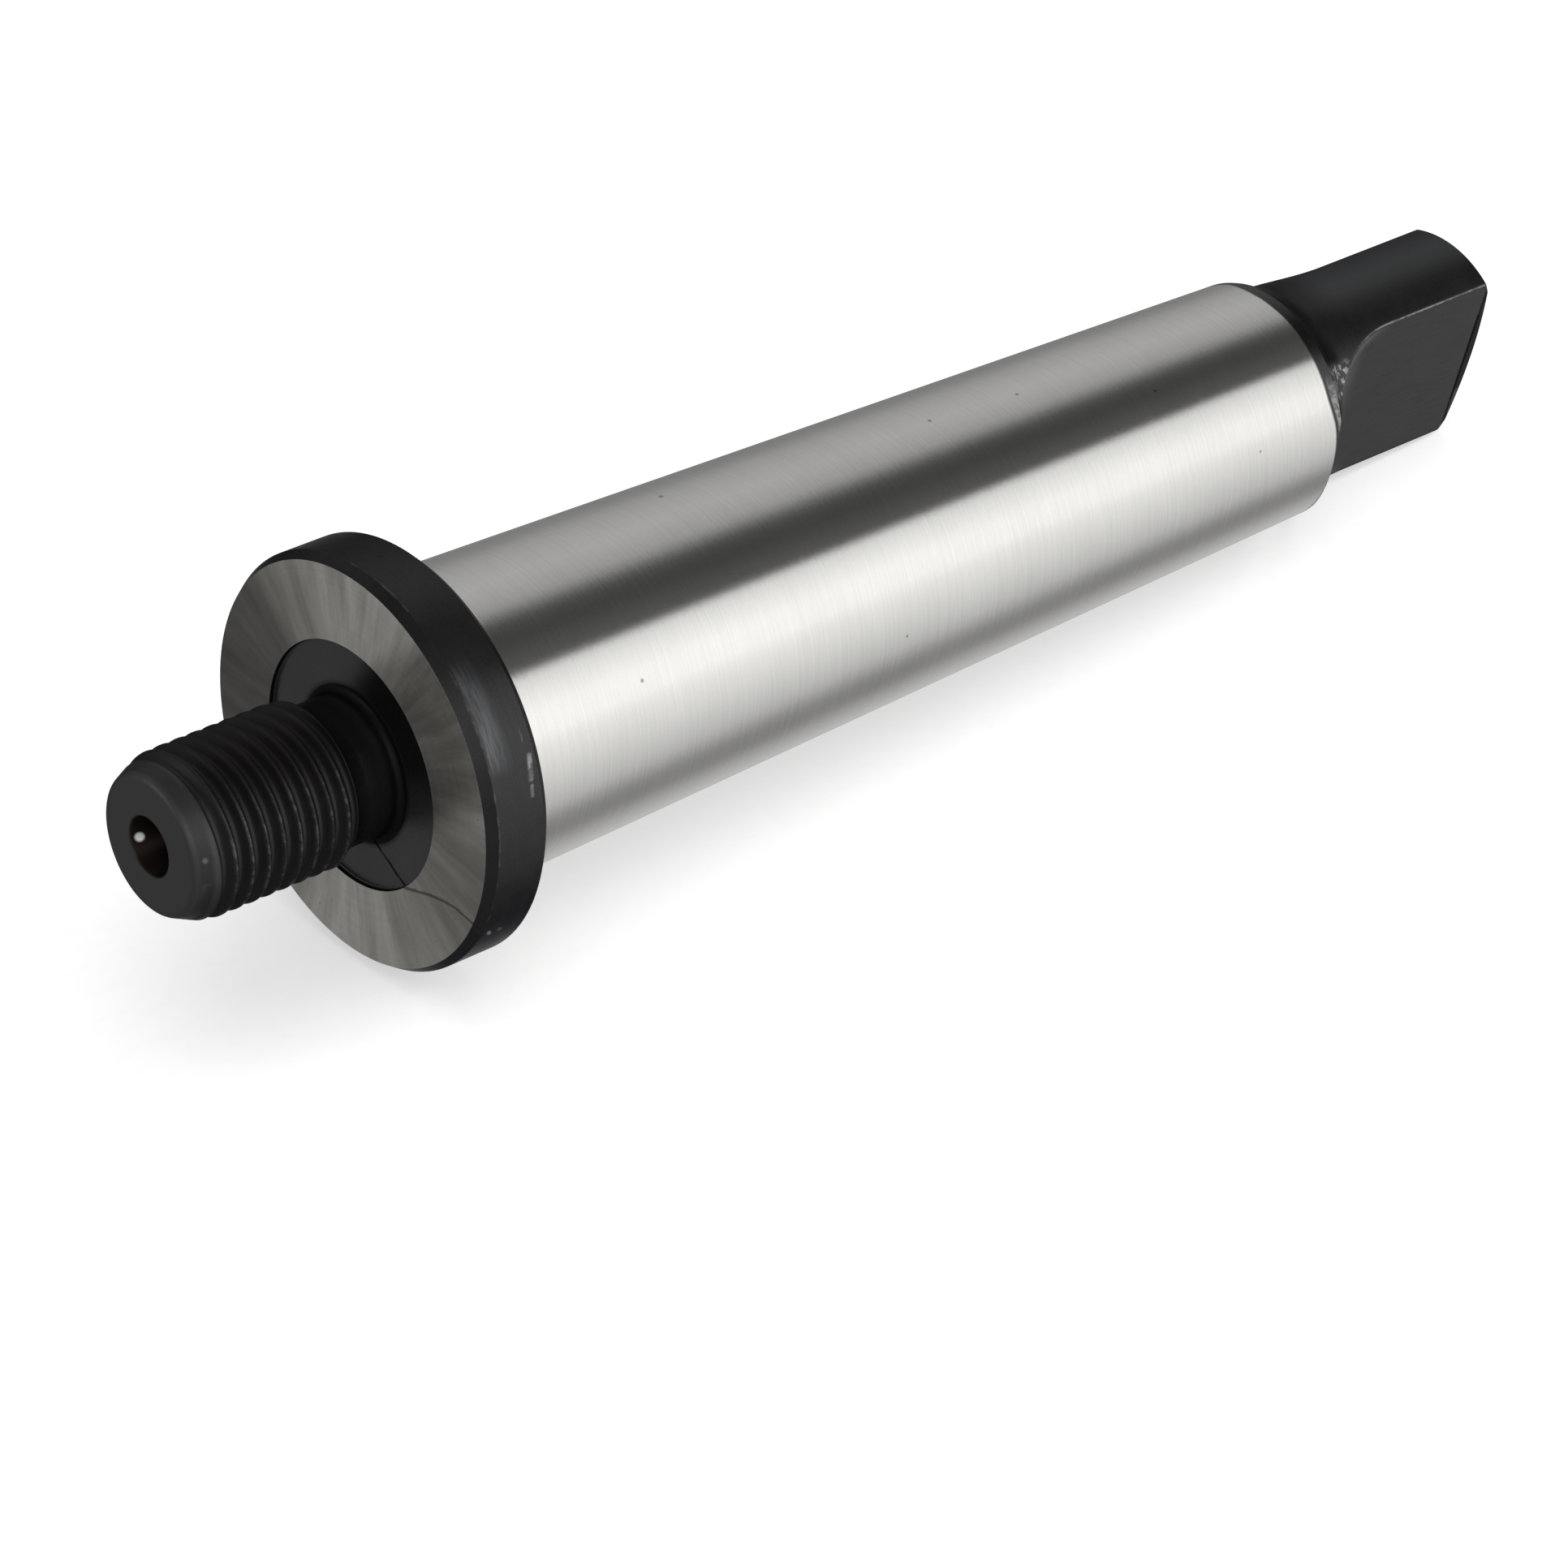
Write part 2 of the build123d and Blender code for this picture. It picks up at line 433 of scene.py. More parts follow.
def tang_points(s, r, h, rho):
    """One section's outline, (s, u, v) of each column: arc 1, flat 2, arc 2,
    flat 1, and the UV's turn."""
    u, w, cw = section(s, r, h, rho)
    x = np.linspace(-1, 1, COL_FLAT + 1)[1:-1] * cw
    uu = np.concatenate([u, np.full(len(x), -h), -u, np.full(len(x), h)])
    ww = np.concatenate([w, -x, -w, x])
    c, sn = math.cos(FLAT_ROLL), math.sin(FLAT_ROLL)
    pts = np.stack([np.full(len(uu), s), uu * c - ww * sn, uu * sn + ww * c], 1)
    return pts, (np.arctan2(ww, uu) % (2 * math.pi)) / (2 * math.pi)


corner_w = np.sin(np.arange(COL_EDGE + 1) / COL_EDGE * math.pi)
half_w = np.concatenate([corner_w, np.zeros(COL_ARC - 1), corner_w])
EDGE_W = np.concatenate([half_w, np.zeros(COL_FLAT - 1)] * 2)


def add_points(pts, turn, prof):
    return B.add(pts[:, 0], pts[:, 1], pts[:, 2], prof, turn, EDGE_W)


n_run = 34
run_s = [S_APEX + (S_FLAT - S_APEX) * ((i + 1) / n_run) ** 1.5 for i in range(n_run)]
run_s = sorted(run_s + [float(x) for x in small_end[:, 0] if S_APEX + 0.01 < x < hollow_c[0] + 0.1])
run_s = [x for i, x in enumerate(run_s) if i == 0 or x - run_s[i - 1] > 1e-4]
plain_s = [S_FLAT + x * (CHAMFER_S - S_FLAT) for x in (0.10, 0.4, 0.75)]
tang = [(s, float(tang_r(s)), float(flat_h(s)), CORNER) for s in run_s + plain_s]
# rounding between the round sides and their chamfer
back = np.array([-1.0, 0.0])
on = np.array([EDGE_S - CHAMFER_S, EDGE_R - TANG_R])
on /= np.linalg.norm(on)
corner = np.array([CHAMFER_S, TANG_R])


def bend(p, a, b, e, t):
    """A point of the curve that rounds the corner p between directions a, b."""
    return p + a * e * (1 - t) ** 2 + b * e * t ** 2


for q in ([corner + back * 0.17] + [bend(corner, back, on, 0.12, k / 4) for k in range(5)]
          + [corner + on * 0.17]):
    tang.append((float(q[0]), float(q[1]), TANG_HALF, CORNER))

wide = 2 * (HALF + 1) + 2 * (COL_FLAT - 1)
# apex row: the circle's columns, with all that belongs to a flat's edge at its
# normal, so that the first tang row fans out from it
t1 = np.concatenate([np.zeros(COL_EDGE + 1), np.arange(1, COL_ARC) / COL_ARC, np.ones(COL_EDGE + 1)])
apex_ang = np.concatenate([t1 * math.pi, np.full(COL_FLAT - 1, math.pi),
                           math.pi + t1 * math.pi, np.full(COL_FLAT - 1, 2 * math.pi)])
prof_at += 0.2
apex_row = ring(S_APEX, float(tang_r(S_APEX)), prof_at, apex_ang)
# the flats' own columns, which are milled
cols = np.full(wide, BLACK)
cols[HALF:HALF + COL_FLAT] = MILLED
cols[2 * HALF + COL_FLAT:] = MILLED
cone_cols = np.where(cols == MILLED, MILLED, GROUND)
half_pick = list(range(HALF)) + list(range(HALF + 1 + COL_FLAT - 1, HALF + 1 + COL_FLAT - 1 + HALF))
B.strip(apex_row[half_pick], prev, GROUND)
prev = apex_row
last_s = S_APEX
for s, r, h, rho in tang:
    prof_at += max(s - last_s, 0.05)
    last_s = s
    side_pts, turn = tang_points(s, r, h, rho)
    cur = add_points(side_pts, turn, prof_at)
    B.strip(cur, prev, cone_cols if s < S_SMALL else cols)
    prev = cur

# the crowned end's outline, rounded between the sides and the crown
edge_pts, turn = tang_points(0.0, EDGE_R, TANG_HALF, CORNER)
edge_pts[:, 0] = crown_s(np.hypot(edge_pts[:, 1], edge_pts[:, 2]))
back = side_pts - edge_pts
back /= np.linalg.norm(back, axis=1)[:, None]
edge_r = np.hypot(edge_pts[:, 1], edge_pts[:, 2])[:, None]
inward = np.concatenate([edge_r / CROWN_R, -edge_pts[:, 1:] / edge_r], 1)
inward /= np.linalg.norm(inward, axis=1)[:, None]
for q in ([edge_pts + back * 0.14] + [bend(edge_pts, back, inward, 0.10, k / 4) for k in range(5)]
          + [edge_pts + inward * 0.14]):
    prof_at += 0.05
    cur = add_points(q, turn, prof_at)
    B.strip(cur, prev, BLACK)
    prev = cur

# end face and centre hole with its guard ring: each column runs straight in
outline = np.array([B.co[i] for i in prev])
ou, ov = outline[:, 1], outline[:, 2]
oa = np.unwrap(np.arctan2(ov, ou))
o_r = np.hypot(ou, ov)
S_GUARD = S_END - 0.32
TANG_CENTRE = [
    (float(crown_s(2.9)), 2.9, 0),
    (float(crown_s(2.45)), 2.45, 0.07),
    (S_GUARD, 2.45, 0.04),
    (S_GUARD, 1.65, 0.07),
    (S_GUARD - (3.3 - 1.6) / 2 / CONE, 0.8, 0.05),
    (S_GUARD - (3.3 - 1.6) / 2 / CONE - 2.2, 0.8, 0.05),
    (S_GUARD - (3.3 - 1.6) / 2 / CONE - 2.2 - 0.8 * CONE, 0.0, 0),
]
tail, _ = rounded(TANG_CENTRE)
turn_uv = (oa - FLAT_ROLL) / (2 * math.pi) % 1.0
base = np.minimum(tail[0][1], o_r - 0.04)
for w in (0.12, 0.3, 0.5, 0.7, 0.88):
    rr = o_r + (base - o_r) * w
    prof_at += 0.5
    cur = B.add(crown_s(rr), rr * np.cos(oa), rr * np.sin(oa), prof_at, turn_uv)
    B.strip(cur, prev, BLACK)
    prev = cur
cur = B.add(crown_s(base), base * np.cos(oa), base * np.sin(oa), prof_at + 0.5, turn_uv)
B.strip(cur, prev, BLACK)
prev = cur
prof_at += 0.5
for (s, r) in tail[1:-1]:
    prof_at += 0.1
    cur = B.add(np.full(wide, s), r * np.cos(oa), r * np.sin(oa), prof_at, turn_uv)
    B.strip(cur, prev, BLACK)
    prev = cur
tip = B.add(np.array([tail[-1][0]]), np.array([0.0]), np.array([0.0]), prof_at + 0.5, 0.0)
for j in range(wide):
    B.faces.append((prev[j], prev[(j + 1) % wide], tip[0]))
    B.mat.append(BLACK)
    B.wraps.append(j == wide - 1)


# ----------------------------------------------------------------------------
# To Blender: merge rows that meet, drop the faces that closed up
# ----------------------------------------------------------------------------
def make_mesh(name):
    co = np.array(B.co)
    uv = np.array(B.uv)
    key = np.round(co / 2e-4).astype(np.int64)
    _, first, inverse = np.unique(key, axis=0, return_index=True, return_inverse=True)
    inverse = inverse.ravel()
    used, faces, mats, loops = {}, [], [], []
    for f, m, wrap in zip(B.faces, B.mat, B.wraps):
        ids, uvs = [], []
        for n, i in enumerate(f):
            j = int(first[inverse[i]])
            if j in ids:
                continue
            ids.append(j)
            uvs.append(list(uv[i]))
        if len(ids) < 3:
            continue
        # across the seam the turn runs on past 1
        tmax = max(x[1] for x in uvs)
        for x in uvs:
            if tmax - x[1] > 0.5:
                x[1] += 1.0
        # the rows run so that each face is turned to look outwards here
        faces.append([used.setdefault(j, len(used)) for j in ids][::-1])
        mats.append(m)
        loops.extend((x[0] / 100, x[1]) for x in uvs[::-1])
    order = np.array(sorted(used, key=used.get))
    world = (ORIGIN + co[order, 0:1] * AXIS + co[order, 1:2] * UP + co[order, 2:3] * SIDE) / 1000
    me = bpy.data.meshes.new(name)
    me.from_pydata(world.tolist(), [], faces)
    me.polygons.foreach_set("material_index", mats)
    me.polygons.foreach_set("use_smooth", [True] * len(faces))
    layer = me.uv_layers.new(name="profile")
    layer.data.foreach_set("uv", np.array(loops, np.float32).ravel())
    rubbed = me.attributes.new("rubbed", "FLOAT", "POINT")
    rubbed.data.foreach_set("value", np.array(B.edge, np.float32)[order])
    me.update()
    me.validate(verbose=False)
    # close what is left between rows that meet within a micron
    bm = bmesh.new()
    bm.from_mesh(me)
    bmesh.ops.remove_doubles(bm, verts=bm.verts, dist=1e-6)
    # the thread's clamped rows leave walls inside it where it starts and ends:
    # they go, and what is then open is closed
    where = {}
    for vert in bm.verts:
        q = np.array(vert.co) * 1000 - ORIGIN
        where[vert] = (q @ AXIS, math.hypot(q @ UP, q @ SIDE))
    inside = [f for f in bm.faces if any(
        all(abs(where[x][0] - end) < 1e-3 and low < where[x][1] < high for x in f.verts)
        for end, low, high in ((S_A, 4.15, 4.40), (S_B, NECK_R - 1e-3, NECK_R + 1e-3)))]
    bmesh.ops.delete(bm, geom=inside, context="FACES")
    made = bmesh.ops.holes_fill(bm, edges=[e for e in bm.edges if e.is_boundary], sides=0)["faces"]
    for f in made:
        f.material_index = BLACK
        f.normal_update()
        if f.normal.dot(Vector(AXIS)) < 0:
            f.normal_flip()
    bmesh.ops.recalc_face_normals(bm, faces=bm.faces)
    bm.to_mesh(me)
    bm.free()
    return me


mesh = make_mesh("arbor_steel")
arbor = bpy.data.objects.new("arbor_steel", mesh)
bpy.context.scene.collection.objects.link(arbor)


# ----------------------------------------------------------------------------
# Materials
# ----------------------------------------------------------------------------
class Nodes:
    """Short forms for building a node tree."""

    def __init__(self, tree):
        self.t = tree
        tree.nodes.clear()

    def new(self, kind, **props):
        n = self.t.nodes.new(kind)
        for k, v in props.items():
            setattr(n, k, v)
        return n

    def link(self, a, b):
        self.t.links.new(a, b)

    def put(self, socket, value):
        if isinstance(value, bpy.types.NodeSocket):
            self.link(value, socket)
        else:
            socket.default_value = value

    def math(self, op, a, b=0.0, c=0.0, clamp=False):
        n = self.new("ShaderNodeMath", operation=op, use_clamp=clamp)
        self.put(n.inputs[0], a)
        self.put(n.inputs[1], b)
        self.put(n.inputs[2], c)
        return n.outputs[0]

    def dot(self, v, c):
        n = self.new("ShaderNodeVectorMath", operation="DOT_PRODUCT")
        self.put(n.inputs[0], v)
        n.inputs[1].default_value = tuple(float(x) for x in c)
        return n.outputs["Value"]

    def combine(self, x, y, z):
        n = self.new("ShaderNodeCombineXYZ")
        for i, v in enumerate((x, y, z)):
            self.put(n.inputs[i], v)
        return n.outputs[0]

    def noise(self, vec, scale, detail=3.0, rough=0.5, distortion=0.0):
        n = self.new("ShaderNodeTexNoise")
        self.put(n.inputs["Vector"], vec)
        n.inputs["Scale"].default_value = scale
        n.inputs["Detail"].default_value = detail
        n.inputs["Roughness"].default_value = rough
        n.inputs["Distortion"].default_value = distortion
        return n.outputs["Fac"]

    def ramp(self, fac, stops, interpolation="LINEAR"):
        n = self.new("ShaderNodeValToRGB")
        n.color_ramp.interpolation = interpolation
        els = n.color_ramp.elements
        while len(els) > 1:
            els.remove(els[-1])
        for i, (p, c) in enumerate(stops):
            e = els[0] if i == 0 else els.new(p)
            e.position = p
            e.color = (*c, 1) if len(c) == 3 else c
        self.put(n.inputs[0], fac)
        return n.outputs["Color"]

    def range(self, v, a, b, c, d, clamp=True):
        n = self.new("ShaderNodeMapRange", clamp=clamp)
        self.put(n.inputs["Value"], v)
        for k, x in zip(("From Min", "From Max", "To Min", "To Max"), (a, b, c, d)):
            n.inputs[k].default_value = x
        return n.outputs["Result"]

    def mix(self, fac, a, b, kind="MIX"):
        n = self.new("ShaderNodeMix", data_type="RGBA", blend_type=kind)
        self.put(n.inputs[0], fac)
        self.put(n.inputs[6], a)
        self.put(n.inputs[7], b)
        return n.outputs[2]

    def bump(self, height, strength, distance, normal=None):
        n = self.new("ShaderNodeBump")
        n.inputs["Strength"].default_value = strength
        n.inputs["Distance"].default_value = distance
        self.put(n.inputs["Height"], height)
        if normal is not None:
            self.link(normal, n.inputs["Normal"])
        return n.outputs[0]


def smooth(g, v, a, b, c=0.0, d=1.0):
    n = g.new("ShaderNodeMapRange", interpolation_type="SMOOTHSTEP")
    g.put(n.inputs["Value"], v)
    for k, x in zip(("From Min", "From Max", "To Min", "To Max"), (a, b, c, d)):
        n.inputs[k].default_value = x
    return n.outputs["Result"]


def near_line(g, x, y, points):
    """Distance in mm from (x, y) to a line through the points."""
    best = None
    for (ax, ay), (bx, by) in zip(points[:-1], points[1:]):
        dx, dy = bx - ax, by - ay
        l2 = dx * dx + dy * dy
        px, py = g.math("SUBTRACT", x, ax), g.math("SUBTRACT", y, ay)
        along = g.math("MULTIPLY_ADD", px, dx / l2, g.math("MULTIPLY", py, dy / l2), clamp=True)
        ex = g.math("SUBTRACT", px, g.math("MULTIPLY", along, dx))
        ey = g.math("SUBTRACT", py, g.math("MULTIPLY", along, dy))
        dist = g.math("SQRT", g.math("ADD", g.math("MULTIPLY", ex, ex), g.math("MULTIPLY", ey, ey)))
        best = dist if best is None else g.math("MINIMUM", best, dist)
    return best


def near_spot(g, pos, s, r, deg, size):
    """1 at a spot on the surface, 0 beyond size mm from it."""
    a = math.radians(deg)
    n = g.new("ShaderNodeVectorMath", operation="DISTANCE")
    g.link(pos, n.inputs[0])
    n.inputs[1].default_value = (s, r * math.cos(a), r * math.sin(a))
    return smooth(g, n.outputs["Value"], size, size * 0.45)


def angle_from(g, u, v, r, deg):
    """Cosine of the angle round the arbor from deg."""
    a = math.radians(deg)
    return g.math("DIVIDE", g.math("ADD", g.math("MULTIPLY", u, math.cos(a)),
                                   g.math("MULTIPLY", v, math.sin(a))), r)


# a thin dark line across the recess and the ring, (u, v)
LINE_FLOOR = [(-3.93, 1.82), (-4.25, 2.35), (-4.60, 3.04), (-5.10, 3.85), (-5.45, 4.61)]
LINE_RING = [(-5.30, 4.80), (-4.95, 5.90), (-4.60, 7.05), (-4.38, 8.15), (-4.28, 9.12), (-4.47, 10.70)]


def arbor_coordinates(g):
    """s, u, v, radius and angle in the arbor's own frame, in millimetres."""
    pos = g.new("ShaderNodeTexCoord").outputs["Object"]
    sub = g.new("ShaderNodeVectorMath", operation="SUBTRACT")
    g.link(pos, sub.inputs[0])
    sub.inputs[1].default_value = tuple(ORIGIN / 1000)
    p = sub.outputs[0]
    s = g.dot(p, AXIS * 1000)
    u = g.dot(p, UP * 1000)
    v = g.dot(p, SIDE * 1000)
    r = g.math("SQRT", g.math("ADD", g.math("MULTIPLY", u, u), g.math("MULTIPLY", v, v)))
    a = g.math("ARCTAN2", v, u)
    return s, u, v, r, a


def material(name):
    m = bpy.data.materials.new(name)
    m.use_nodes = True
    g = Nodes(m.node_tree)
    out = g.new("ShaderNodeOutputMaterial")
    bsdf = g.new("ShaderNodeBsdfPrincipled")
    g.link(bsdf.outputs[0], out.inputs[0])
    return m, g, bsdf


def ground_steel(name, face):
    """Ground, bright steel.  On the taper the grinding lines run round the
    arbor; on the collar's face they are circles about it."""
    m, g, bsdf = material(name)
    s, u, v, r, a = arbor_coordinates(g)
    pos = g.combine(s, u, v)
    along = r if face else s
    # unit vector round the arbor, for noise with no seam
    cu, cv = g.math("DIVIDE", u, r), g.math("DIVIDE", v, r)
    lines = g.noise(g.combine(g.math("MULTIPLY", along, 9.0),
                              g.math("MULTIPLY", cu, 1.3), g.math("MULTIPLY", cv, 1.3)), 1.0, 5.0, 0.65)
    fine = g.noise(g.combine(g.math("MULTIPLY", along, 42.0),
                             g.math("MULTIPLY", cu, 5.0), g.math("MULTIPLY", cv, 5.0)), 1.0, 3.0, 0.6)
    cloud = g.noise(pos, 0.22, 4.0, 0.55)
    grain = g.noise(pos, 9.0, 2.0, 0.5)
    tone = g.math("ADD", g.math("MULTIPLY", lines, 0.45),
                  g.math("ADD", g.math("MULTIPLY", fine, 0.2),
                         g.math("ADD", g.math("MULTIPLY", cloud, 0.2), g.math("MULTIPLY", grain, 0.15))))
    height = g.math("ADD", g.math("MULTIPLY", lines, 0.5), g.math("MULTIPLY", fine, 0.5))
    if face:
        # the face's steel is darker than the taper's: painted shade, for the dark room that the face reflects
        colour = g.ramp(tone, [(0.30, (0.300, 0.292, 0.270)), (0.70, (0.400, 0.390, 0.362))])
        rough = g.range(tone, 0.3, 0.7, 0.33, 0.42)
        # streaks that run out from the middle, and painted highlights and shade in sectors round the face, where the
        # light catches the circular grinding
        streak = g.noise(g.combine(g.math("MULTIPLY", cu, 7.0), g.math("MULTIPLY", cv, 7.0),
                                   g.math("MULTIPLY", r, 0.12)), 1.0, 4.0, 0.62)
        k = g.range(streak, 0.32, 0.68, 0.72, 1.22)
        for deg, lo, hi, level in ((-78.0, 0.62, 0.97, 0.40), (100.0, 0.70, 0.98, 0.82), (8.0, 0.86, 0.99, 1.32),
                                   (178.0, 0.86, 0.99, 1.30), (56.0, 0.80, 0.97, 1.65)):
            k = g.math("MULTIPLY", k, smooth(g, angle_from(g, u, v, r, deg), lo, hi, 1.0, level))
        colour = g.mix(1.0, colour, g.combine(k, k, k), "MULTIPLY")
        # the thin dark line, and dark pits
        wobble = g.math("MULTIPLY", g.math("SUBTRACT", g.noise(pos, 2.2, 3.0, 0.6), 0.5), 0.16)
        d = g.math("ADD", near_line(g, u, v, LINE_RING), wobble)
        mark = smooth(g, d, 0.15, 0.03)
        colour = g.mix(g.math("MULTIPLY", mark, 0.72), colour, (0.02, 0.018, 0.015, 1))
        pits = g.noise(pos, 3.1, 2.0, 0.4)
        colour = g.mix(smooth(g, pits, 0.72, 0.78, 0.0, 0.45), colour, (0.05, 0.045, 0.04, 1))
        height = g.math("SUBTRACT", height, mark)
    else:
        colour = g.ramp(tone, [(0.30, (0.540, 0.536, 0.520)), (0.70, (0.665, 0.661, 0.645))])
        rough = g.range(tone, 0.3, 0.7, 0.135, 0.185)
        # a few small dark specks
        for s0, deg, size in ((13.8, 62.0, 0.16), (22.5, -8.0, 0.20), (41.0, 5.0, 0.16), (47.5, 8.0, 0.15),
                              (56.0, 31.0, 0.13), (33.0, 88.0, 0.12), (62.0, 74.0, 0.11), (29.0, 205.0, 0.18),
                              (51.0, 262.0, 0.16), (18.0, 158.0, 0.15)):
            spot = near_spot(g, pos, s0, taper_r(s0), deg, size)
            colour = g.mix(g.math("MULTIPLY", spot, 0.6), colour, (0.10, 0.075, 0.06, 1))
        # the grinding stops a little before the small end, unevenly, and
        # leaves the black band beyond it
        edge = smooth(g, angle_from(g, u, v, r, 30.0), 0.60, 0.97, S_GROUND + 0.35, S_GROUND - 0.1)
        edge = g.math("MAXIMUM", edge, smooth(g, angle_from(g, u, v, r, 200.0), -0.42, 0.14, S_GROUND, S_SMALL + 0.12))
        edge = g.math("ADD", edge, g.math("MULTIPLY", g.math("SUBTRACT", cloud, 0.5), 0.25))
        past = g.math("SUBTRACT", s, edge)
        band = smooth(g, past, -0.10, 0.08)
        colour = g.mix(band, colour, (0.070, 0.070, 0.069, 1))
        # beside the flats the rest of the band is torn and pale
        pale = g.math("MULTIPLY", smooth(g, past, 0.16, 0.34), smooth(g, angle_from(g, u, v, r, 82.0), 0.86, 0.97))
        pale = g.math("MULTIPLY", pale, smooth(g, g.noise(pos, 3.0, 4.0, 0.7), 0.40, 0.60, 0.35, 1.0))
        colour = g.mix(pale, colour, (0.24, 0.24, 0.235, 1))
        rough = g.math("ADD", rough, g.math("MULTIPLY", band, 0.22))
        g.link(g.math("MULTIPLY_ADD", pale, -0.7, 1.0), bsdf.inputs["Metallic"])
        # a little brown where the taper meets the collar
        foot = smooth(g, s, S_BACK + 0.75, S_BACK + 0.25)
        colour = g.mix(g.math("MULTIPLY", foot, 0.6), colour, (0.16, 0.10, 0.075, 1))
    g.link(colour, bsdf.inputs["Base Color"])
    g.link(rough, bsdf.inputs["Roughness"])
    if face:
        bsdf.inputs["Metallic"].default_value = 1.0
    bsdf.inputs["Anisotropic"].default_value = 0.85
    tan = g.new("ShaderNodeTangent", direction_type="UV_MAP", uv_map="profile")
    g.link(tan.outputs[0], bsdf.inputs["Tangent"])
    g.link(g.bump(height, 0.06, 0.0004), bsdf.inputs["Normal"])
    return m


def black_oxide(name, milled):
    """Satin black oxide on turned steel, and a greyer, duller one on the milled flats of the tang,
    with wear on the edges, nicks and pits, and with painted light and shade."""
    m, g, bsdf = material(name)
    s, u, v, r, a = arbor_coordinates(g)
    pos = g.combine(s, u, v)
    r = g.math("MAXIMUM", r, 0.001)
    cu, cv = g.math("DIVIDE", u, r), g.math("DIVIDE", v, r)
    grain = g.noise(pos, 11.0, 3.0, 0.6)
    cloud = g.noise(pos, 0.5, 4.0, 0.6)
    lines = g.noise(g.combine(g.math("MULTIPLY", s, 14.0), g.math("MULTIPLY", r, 14.0), cu), 1.0, 3.0, 0.6)
    tone = g.math("ADD", g.math("MULTIPLY", grain, 0.4),
                  g.math("ADD", g.math("MULTIPLY", cloud, 0.35), g.math("MULTIPLY", lines, 0.25)))
    over = g.math("ADD", g.math("MULTIPLY", u, math.cos(FLAT_ROLL)), g.math("MULTIPLY", v, math.sin(FLAT_ROLL)))
    across = g.math("ADD", g.math("MULTIPLY", u, -math.sin(FLAT_ROLL)), g.math("MULTIPLY", v, math.cos(FLAT_ROLL)))
    if milled:
        # the cutter's marks run along the flat
        cut = g.noise(g.combine(g.math("MULTIPLY", s, 0.5), g.math("MULTIPLY", across, 9.0), over), 1.0, 3.0, 0.6)
        colour = g.ramp(g.math("ADD", g.math("MULTIPLY", tone, 0.6), g.math("MULTIPLY", cut, 0.4)),
                        [(0.35, (0.042, 0.042, 0.043)), (0.65, (0.061, 0.061, 0.062))])
        # painted light: the run-outs painted paler
        colour = g.mix(smooth(g, s, S_FLAT - 1.2, S_FLAT - 4.6, 0.0, 0.75), colour, (0.125, 0.125, 0.125, 1))
        # painted highlight along the flats' edges in the run-outs
        edge_highlight = g.math("MULTIPLY", smooth(g, r, 5.6, 6.6), smooth(g, s, S_FLAT + 0.5, S_FLAT - 2.2))
        colour = g.mix(g.math("MULTIPLY", edge_highlight, 0.65), colour, (0.165, 0.165, 0.165, 1))
        rough = g.range(cloud, 0.3, 0.7, 0.46, 0.56)
        bsdf.inputs["Metallic"].default_value = 0.4
        height = g.math("ADD", g.math("MULTIPLY", grain, 0.4), g.math("MULTIPLY", cut, 0.6))
    else:
        colour = g.ramp(tone, [(0.35, (0.030, 0.030, 0.031)), (0.65, (0.044, 0.044, 0.045))])
        rough = g.range(cloud, 0.3, 0.7, 0.25, 0.33)
        metal = 0.86
        height = grain

        def paint(mask, amount, c):
            nonlocal colour
            colour = g.mix(g.math("MULTIPLY", mask, amount), colour, (*c, 1))

        def duller(mask, amount, to):
            nonlocal metal
            metal = g.math("MULTIPLY_ADD", g.math("MULTIPLY", mask, amount), g.math("SUBTRACT", to, metal), metal)

        # painted light and shade: paler on the faces turned to the stud's end, on the
        # recess's floor and on top of the tang; darker in the fillet at the stud's foot, on one side of the recess's
        # floor and along the stud's upper side
        # painted light: the stud's end face and lead chamfer painted paler
        paint(smooth(g, s, -11.5, -12.3), 0.35, (0.090, 0.090, 0.093))
        paint(smooth(g, s, -12.9, -13.1), 0.85, (0.088, 0.088, 0.091))
        paint(g.math("MULTIPLY", smooth(g, s, -11.0, -12.0), smooth(g, r, 1.82, 1.66)), 0.95, (0.016, 0.010, 0.009))
        # painted light: the recess's floor painted paler
        floor_of = g.math("MULTIPLY", smooth(g, g.math("ABSOLUTE", g.math("SUBTRACT", s, 0.3)), 0.08, 0.03),
                          g.math("MULTIPLY", smooth(g, r, 7.2, 7.0), smooth(g, r, 4.5, 4.9)))
        paint(floor_of, 0.9, (0.084, 0.084, 0.087))
        # painted shade: one side of the recess's floor, beside the stud, painted darker
        paint(g.math("MULTIPLY", floor_of, smooth(g, angle_from(g, u, v, r, 42.0), 0.72, 0.96)), 0.85, (0.022, 0.020, 0.021))
        # painted shade: the fillet at the stud's foot painted darker
        foot = g.math("MULTIPLY", smooth(g, s, -0.6, -0.2), smooth(g, r, 4.62, 4.5))
        paint(foot, 0.8, (0.010, 0.010, 0.010))
        # painted light: the top of the tang painted paler
        lift = g.math("MULTIPLY", smooth(g, s, 70.8, 74.5), smooth(g, angle_from(g, u, v, r, -14.0), 0.66, 0.97))
        paint(lift, 0.75, (0.074, 0.075, 0.077))
        thread_zone = smooth(g, s, -2.6, -3.0)
        rough = g.math("MULTIPLY_ADD", g.math("ADD", thread_zone, foot), 0.13, rough)
        shade = g.math("MULTIPLY", smooth(g, s, -0.4, -1.4), smooth(g, s, -12.2, -9.5))
        paint(g.math("MULTIPLY", shade, smooth(g, angle_from(g, u, v, r, 22.0), 0.60, 0.97)), 0.7, (0.019, 0.016, 0.017))

        # brown at the collar's back edge
        back = g.math("MULTIPLY", smooth(g, s, 3.62, 3.95), smooth(g, r, 11.2, 11.6))
        back = g.math("MULTIPLY", back, smooth(g, g.noise(g.combine(s, g.math("MULTIPLY", cu, 2.6), g.math("MULTIPLY", cv, 2.6)),
                                                          1.0, 4.0, 0.65), 0.42, 0.62, 0.25, 1.0))
        paint(back, 0.7, (0.070, 0.026, 0.019))
